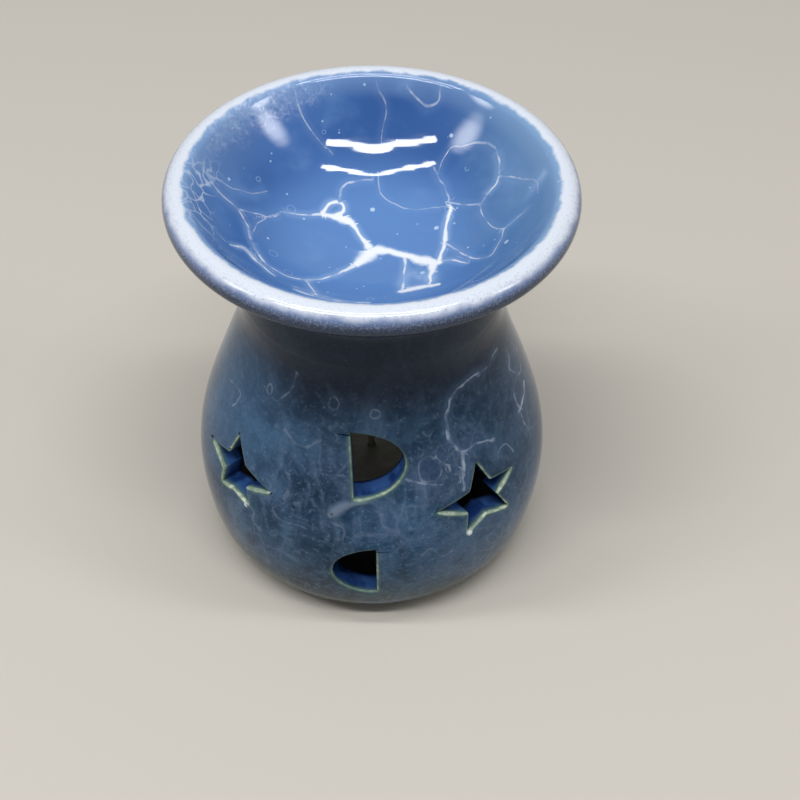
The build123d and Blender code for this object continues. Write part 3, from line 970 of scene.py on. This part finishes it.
def make_slate_group():
    """Slate blue outer glaze: lilac veils, green in thin places, faint veins, painted shade under
    the lip.
    """
    tree, given = group("slate_glaze")
    spot = given["Vector"]
    broad = fbm(spot, 24.0)
    cloud = fbm(spot, 75.0, 6.0, 0.62, 0.6)
    drift = fbm(spot.stretched(0.4), 120.0, 5.0, 0.6, 0.8)
    fine = fbm(spot, 900.0, 4.0, 0.7)
    grit = fbm(spot, 330.0, 6.0, 0.75, 0.5)
    veins = placed(vein_group, spot, Cells=62.0, Width=0.035, Wander=0.012, Spread=0.45)
    lace = placed(vein_group, spot, Cells=210.0, Width=0.1, Wander=0.012, Spread=0.32)
    bubbles = placed(bubble_group, spot, Cells=380.0, Amount=0.1)
    height = spot.part("Z")
    veil = cloud.ranged(0.44, 0.66, 0.0, 0.8)
    thin = height.ranged(0.022, 0.003) * broad.ranged(0.3, 0.6, 0.35, 0.9)
    # Painted shade: the glaze darkens towards the collar and on the bowl's underside, under the
    # lip
    neck = height + cloud * 0.014
    base = layered(
        (14, 44, 70),
        (broad.ranged(0.35, 0.65), (30, 74, 108)),
        (veil, (62, 95, 127)),
        (drift.ranged(0.54, 0.7, 0.0, 0.6), (84, 111, 140)),
        (drift.ranged(0.45, 0.31, 0.0, 0.5), (5, 26, 48)),
        (thin, (58, 68, 52)),
        (veins["Veil"] * 0.4, (74, 98, 134)),
        (veins["Veins"] * 0.24, (108, 124, 152)),
        (lace["Veins"] * veil * 0.6, (124, 138, 168)),
        (bubbles["Rings"] * 0.2, (112, 126, 152)),
        (bubbles["Dots"] * 0.3, (14, 30, 52)),
        (grit.ranged(0.52, 0.68, 0.0, 0.5), (88, 114, 144)),
        (grit.ranged(0.48, 0.34, 0.0, 0.55), (8, 32, 56)),
        (fine.ranged(0.54, 0.68, 0.0, 0.5), (106, 124, 150)),
        (fine.ranged(0.42, 0.3, 0.0, 0.45), (8, 28, 50)),
        # painted shade under the bowl's lip
        (neck.ranged(0.056, 0.074, 0.0, 0.85), (5, 22, 44)))
    raised = veins["Veins"] * 0.35 + cloud * 0.9 - bubbles["Dots"] * 0.4
    return outlets(tree, Color=base, Roughness=cloud.ranged(0.3, 0.75, 0.07, 0.15), Height=raised)


vein_group = make_vein_group()
bubble_group = make_bubble_group()
line_group = make_line_group()
slate_group = make_slate_group()


def material(name):
    """An empty node material: its Principled shader, and Object coordinates to paint by."""
    made = bpy.data.materials.new(name)
    made.use_nodes = True
    place = Value(node(made.node_tree, "TexCoord").outputs["Object"])
    return made, made.node_tree.nodes["Principled BSDF"], place


def finished(made, shader, relief=None, distance=0.0, **inputs):
    """Wire a material up: what its shader reads, and its relief where it has one."""
    for name, value in inputs.items():
        feed(shader.inputs[name.replace("_", " ")], value)
    if relief:
        bump = node(made.node_tree, "Bump", Strength=1.0, Distance=distance, Height=relief)
        feed(shader.inputs["Normal"], Value(bump.outputs[0]))
    return made


def kept(place, name):
    """A value that was stored on the mesh."""
    return Value(node(place.tree, "Attribute", {"attribute_name": name}).outputs["Fac"])


def drawn_lines(place, ragged):
    """The piece's own lines, from the values kept on its mesh."""
    return placed(line_group, place, Side=kept(place, "line_side"), End=kept(place, "line_end"),
                  Strength=kept(place, "line_strength"), Ragged=ragged)


def shell_glaze():
    """Slate glaze that breaks pale over cut edges, blue in the cuts, painted shade inside, bare
    foot.
    """
    made, shader, place = material("slate_glaze_on_shell")
    slate, lines = placed(slate_group, place), drawn_lines(place, 1.4)
    web = placed(vein_group, place, Cells=330.0, Width=0.1, Wander=0.008, Spread=0.6)
    cells = placed(vein_group, place, Cells=135.0, Width=0.07, Wander=0.007, Spread=0.5)
    mottle, drift = fbm(place, 900.0), fbm(place, 260.0)
    depth, height = kept(place, "depth"), place.part("Z")
    # Painted sheen on the left flank and painted shade on the right flank
    left = place.around(front_point(-62, 47), 0.006, 0.026)
    right = place.around(front_point(58, 42), 0.006, 0.026)
    milky = place.around(front_point(26.5, 43.5), 0.004, 0.0095)
    cell = place.around(front_point(20.3, 44.9), 0.0018, 0.0034)
    haze = place.around(front_point(30, 22), 0.004, 0.016) * drift.ranged(0.4, 0.6, 0.2, 1.0)
    pit = place.around(front_point(-12.9, 35.9), 0.0002, 0.0005)
    below = height.ranged(0.065, 0.055)
    run = kept(place, "run") + (drift - 0.5) * 0.5
    edge = kept(place, "edge") + (fbm(place, 420.0, 4.0, 0.6) - 0.5) * 1.3
    worn = fbm(place, 130.0, 2.0).ranged(0.38, 0.58, 0.35, 0.9)
    blue = mixed(drift.ranged(0.35, 0.65), (22, 46, 96), (50, 84, 140))
    broken = mixed(mottle.ranged(0.38, 0.62), (152, 172, 154), (214, 222, 202))
    clay = mixed(mottle.ranged(0.35, 0.65), (176, 148, 118), (198, 174, 146))
    # Painted shade: the chamber's inside is painted near black, as it lies in shadow
    chamber_shade = depth.ranged(0.8, 1.0)
    bare = (height + (drift - 0.5) * 0.001).ranged(0.0013, 0.0009)
    base = layered(
        slate["Color"],
        # painted sheen on the left flank, then painted shade on the right flank
        (left * 0.42, (68, 108, 148)),
        (right * 0.38, (16, 38, 66)),
        (milky * 0.25, (88, 108, 140)),
        (milky * web["Veins"] * 0.5, (132, 148, 176)),
        (cell * 0.6, (20, 48, 86)),
        (lines["Halo"] * 0.45, (70, 98, 132)),
        (haze * 0.4, (84, 104, 132)),
        (cells["Veil"] * below * 0.25, (70, 98, 132)),
        (cells["Veins"] * below * 0.26, (112, 134, 160)),
        (lines["Core"], (156, 170, 192)),
        (run.ranged(1.3, 0.75, 0.0, 0.7), (82, 104, 130)),
        (run.ranged(0.85, 0.25, 0.0, 0.8), (112, 128, 150)),
        (pit * 0.8, (30, 44, 62)),
        (depth.ranged(0.08, 0.3), blue),
        (edge.ranged(2.6, 0.9, 0.0, 0.6), (80, 108, 104)),
        (edge.ranged(1.25, 0.6, 0.0, 0.8), (124, 148, 130)),
        (edge.ranged(0.85, 0.4) * worn, broken),
        # the glaze beads at the stars' lower tips are real and raised; their white is a painted
        # highlight
        (kept(place, "drop").ranged(1.0, 0.6), (214, 220, 232)),
        (chamber_shade, (10, 14, 22)),
        (bare, clay))
    rough = calc("MAXIMUM", calc("MAXIMUM", slate["Roughness"], bare * 0.8), chamber_shade * 0.5)
    relief = slate["Height"] + bare * mottle + lines["Core"] * 0.4
    return finished(made, shader, relief, GLAZE_RELIEF, Base_Color=base, Roughness=rough,
                    IOR=GLAZE_IOR)


def bowl_glaze():
    """Mid-blue pooled glaze with white veins, a worn white crest, painted shade under the lip,
    slate below.
    """
    made, shader, place = material("blue_glaze_on_bowl")
    slate, lines = placed(slate_group, place), drawn_lines(place, 0.3)
    small = placed(vein_group, place, Cells=75.0, Width=0.02, Wander=0.006, Spread=0.25)
    web = placed(vein_group, place, Cells=300.0, Width=0.12, Wander=0.014, Spread=0.55)
    bubbles = placed(bubble_group, place, Cells=300.0, Amount=0.13)
    dots = placed(bubble_group, place, Cells=560.0, Amount=0.16)
    broad, cloud = fbm(place, 22.0, 2.0), fbm(place, 95.0, 5.0)
    patch, speck = fbm(place, 260.0, 4.0, 0.6), fbm(place, 2400.0, 3.0, 0.7)
    froth = fbm(place, 640.0, 5.0, 0.7, 1.0)
    height, way = place.part("Z"), kept(place, "lip_way")
    right = place.part("X").ranged(0.014, 0.036)
    near_side = place.part("Y").ranged(0.034, 0.012)
    rise = height.ranged(0.080, 0.088)
    milk = place.around((0.0095, -0.0095, 0.0765), 0.002, 0.0062)
    milk = milk * patch.ranged(0.3, 0.65, 0.3, 1.0)
    foam = place.around((-0.024, 0.026, 0.0935), 0.002, 0.021)
    foam = foam * (way + cloud * 9.0).ranged(12.0, 5.0)
    left = place.around((-0.034, 0.004, 0.092), 0.010, 0.022) * way.ranged(9.0, 4.0)
    hollow = layered(
        (46, 86, 146),
        (broad.ranged(0.35, 0.65), (64, 106, 168)),
        (height.ranged(0.086, 0.0765) * 0.75, (100, 142, 198)),
        (right * 0.7, (98, 138, 172)),
        (cloud.ranged(0.5, 0.8, 0.0, 0.4), (112, 150, 198)),
        (small["Veins"] * rise * 0.4, (160, 194, 226)),
        (bubbles["Dots"] * 0.7, (196, 216, 236)),
        (bubbles["Rings"] * 0.3, (160, 192, 224)),
        (dots["Dots"] * 0.6, (190, 212, 236)),
        (lines["Halo"] * lines["Halo"] * 0.45, (152, 184, 224)),
        (milk * 0.5, (164, 190, 224)),
        (lines["Core"], (232, 236, 242)),
        (near_side * way.ranged(16.0, 3.0, 0.0, 0.4), (112, 146, 190)),
        (foam * froth.ranged(0.28, 0.55) * 0.85, (150, 170, 208)),
        (foam * froth.ranged(0.52, 0.66) * 0.85, (208, 216, 234)),
        (web["Veins"] * left * 0.8, (214, 224, 236)),
        (way.ranged(5.5, 1.0) * 0.45, (150, 182, 218)))
    ragged = way + (patch - 0.5) * 2.2
    crest, outer = ragged.ranged(1.5, 0.5), ragged.ranged(-3.6, -1.7)
    dust = speck.ranged(0.48, 0.68) * way.ranged(-6.0, -3.0)
    worn = speck.ranged(0.5, 0.7) * way.ranged(0.6, -2.4, 0.15, 1.0)
    lip = layered(
        # painted shade: the lip's outer flank is darker below its widest point, where it faces
        # down
        (44, 58, 82),
        (way.ranged(-4.9, -2.6), (112, 132, 174)),
        (dust * 0.6, (176, 186, 208)),
        (way.ranged(-5.2, -6.6), slate["Color"]),
        (outer, (212, 219, 231)),
        (worn * 0.45, (84, 98, 138)))
    base = layered(hollow, (crest, lip), (way.ranged(-7.4, -8.2), slate["Color"]))
    rough = calc("MAXIMUM", cloud.ranged(0.3, 0.75, 0.05, 0.12), crest * outer * 0.25)
    relief = cloud * 0.8 + lines["Core"] * 0.5 + crest * speck * 0.5
    return finished(made, shader, relief, GLAZE_RELIEF, Base_Color=base, Roughness=rough,
                    Coat_Weight=way.ranged(-6.5, -3.0, 0.0, 0.7), IOR=GLAZE_IOR)


def pressed_aluminium():
    """Thin rolled aluminium with fine drawing lines."""
    made, shader, place = material("pressed_aluminium")
    lines = fbm(place.stretched(0.06), 2400.0)
    base = mixed(lines.ranged(0.35, 0.7), (196, 198, 202), (226, 227, 230))
    rough = fbm(place, 180.0).ranged(0.3, 0.7, 0.22, 0.4)
    return finished(made, shader, lines, 0.03 * MM, Base_Color=base, Metallic=1.0, Roughness=rough)


def candle_wax():
    """Off-white wax with a slight bloom."""
    made, shader, place = material("candle_wax")
    bloom = fbm(place, 260.0, 5.0)
    base = mixed(bloom.ranged(0.35, 0.7), (226, 220, 204), (240, 237, 226))
    rough = bloom.ranged(0.3, 0.7, 0.38, 0.55)
    return finished(made, shader, bloom, 0.08 * MM, Base_Color=base, Roughness=rough,
                    Subsurface_Weight=0.2, Subsurface_Scale=2 * MM)


def tinned_steel():
    """Dull tinned steel of the wick's holder."""
    made, shader, place = material("tinned_steel")
    scuff = fbm(place, 900.0, 4.0)
    base = mixed(scuff.ranged(0.35, 0.7), (150, 150, 150), (186, 186, 184))
    rough = scuff.ranged(0.3, 0.7, 0.3, 0.5)
    return finished(made, shader, Base_Color=base, Metallic=1.0, Roughness=rough)


def cotton_wick():
    """Waxed cotton with its plait showing."""
    made, shader, place = material("cotton_wick")
    plait = node(place.tree, "TexWave", {"bands_direction": "DIAGONAL"}, Vector=place,
                 Scale=700.0, Distortion=1.0)
    plait = Value(plait.outputs["Fac"])
    base = mixed(plait.ranged(0.2, 0.8), (206, 198, 178), (236, 230, 214))
    return finished(made, shader, plait, 0.2 * MM, Base_Color=base, Roughness=0.8)


def pale_floor():
    """A plain matt floor, which seems to glow a little where it is far off."""
    made, shader, place = material("pale_floor")
    seen = node(place.tree, "LightPath").outputs
    camera_ray, glossy_ray, clear_ray = (
        Value(seen[f"Is {kind} Ray"]) for kind in ("Camera", "Glossy", "Transmission"))
    far_off = vectors("DISTANCE", place, (0, 0, 0)).ranged(0.4, 1.7, 0.0, 0.66)
    glow = far_off * calc("MINIMUM", camera_ray + glossy_ray + clear_ray, 1.0)
    pale = colour(198, 193, 184)
    return finished(made, shader, Base_Color=pale, Roughness=0.9, Emission_Color=pale,
                    Emission_Strength=glow)


def dressed(piece, finish):
    """Give a piece or a node of the frame one material."""
    piece.data.materials.clear()
    piece.data.materials.append(finish)


shell = make_shell()
dress_shell(shell)
smooth_shaded(shell, 40)
dressed(shell, shell_glaze())
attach(shell, "burner")
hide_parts("burner_body")

bowl = make_bowl()
dress_bowl(bowl)
smooth_shaded(bowl, 50)
dressed(bowl, bowl_glaze())
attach(bowl, "burner")
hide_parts("oil_bowl")

wax = make_wax()
smooth_shaded(wax, 40)
dressed(wax, candle_wax())
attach(wax, "tealight")
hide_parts("tealight_wax")

wick = make_wick()
smooth_shaded(wick, 40)
dressed(wick, cotton_wick())
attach(wick, "tealight")
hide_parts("wick")

dressed(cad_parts["tealight_cup"], pressed_aluminium())
dressed(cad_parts["wick_sustainer"], tinned_steel())

# Floor, light and camera

# The camera and its lens as fitted to the photographed view, the burner's middle that the windows
# face, and how bright the tubes and the windows are
CAMERA_PLACE, CAMERA_AIM = (0, -0.2621, 0.2954), (0, 0, 0.03326)
CAMERA_LENS, CAMERA_SHIFT = 73.77, 0.0354
BELLY_MIDDLE = (0, 0, 0.06)
TUBES, WINDOWS = 24, 6

bpy.ops.object.select_all(action="DESELECT")
bpy.ops.mesh.primitive_plane_add(size=60)
floor = bpy.context.active_object
floor.name = "floor"
dressed(floor, pale_floor())


def looking(place, aim):
    """The turn of a lamp or a camera that looks from a place at a point."""
    return (Vector(aim) - Vector(place)).to_track_quat("-Z", "Y").to_euler()


def lamp(name, place, aim, width, depth, brightness, soft):
    """A rectangular lamp that looks at a point; a soft one fades towards its edges."""
    light = bpy.data.lights.new(name, "AREA")
    light.shape = "RECTANGLE"
    light.size = width
    light.size_y = depth
    light.energy = brightness * width * depth * math.pi
    if soft:
        light.use_nodes = True
        across = Value(node(light.node_tree, "NewGeometry").outputs["Parametric"])
        flat = node(across.tree, "CombineXYZ", X=across.part("X"), Y=across.part("Y"))
        off_middle = vectors("DISTANCE", Value(flat.outputs[0]), (0.5, 0.5, 0))
        fade = off_middle.ranged(0.1, 0.5, 1.6, 0.0)
        feed(across.tree.nodes["Emission"].inputs["Strength"], fade)
    made = bpy.data.objects.new(name, light)
    made.location = place
    made.rotation_euler = looking(place, aim)
    bpy.context.scene.collection.objects.link(made)


lamp("front_tube", (-0.125, -0.40, 1.05), (-0.125, -0.2, 0), 1.15, 0.075, TUBES, False)
lamp("back_tube", (-0.075, -0.105, 1.08), (-0.075, -0.05, 0), 1.05, 0.055, TUBES, False)
lamp("left_window", (-0.72, -0.16, 0.66), BELLY_MIDDLE, 0.30, 0.42, WINDOWS, True)
lamp("right_window", (0.74, -0.18, 0.62), BELLY_MIDDLE, 0.26, 0.42, WINDOWS, True)

world = bpy.data.worlds.new("studio")
world.use_nodes = True
sky = world.node_tree.nodes["Background"].inputs
feed(sky["Color"], (1, 1, 1, 1))
feed(sky["Strength"], 0.25)
bpy.context.scene.world = world

camera = bpy.data.objects.new("camera", bpy.data.cameras.new("camera"))
camera.location = CAMERA_PLACE
camera.rotation_euler = looking(CAMERA_PLACE, CAMERA_AIM)
camera.data.sensor_width = 36
camera.data.lens = CAMERA_LENS
camera.data.shift_x = CAMERA_SHIFT
camera.data.clip_start = 0.01
bpy.context.scene.collection.objects.link(camera)
bpy.context.scene.camera = camera
bpy.context.scene.view_settings.view_transform = "Standard"
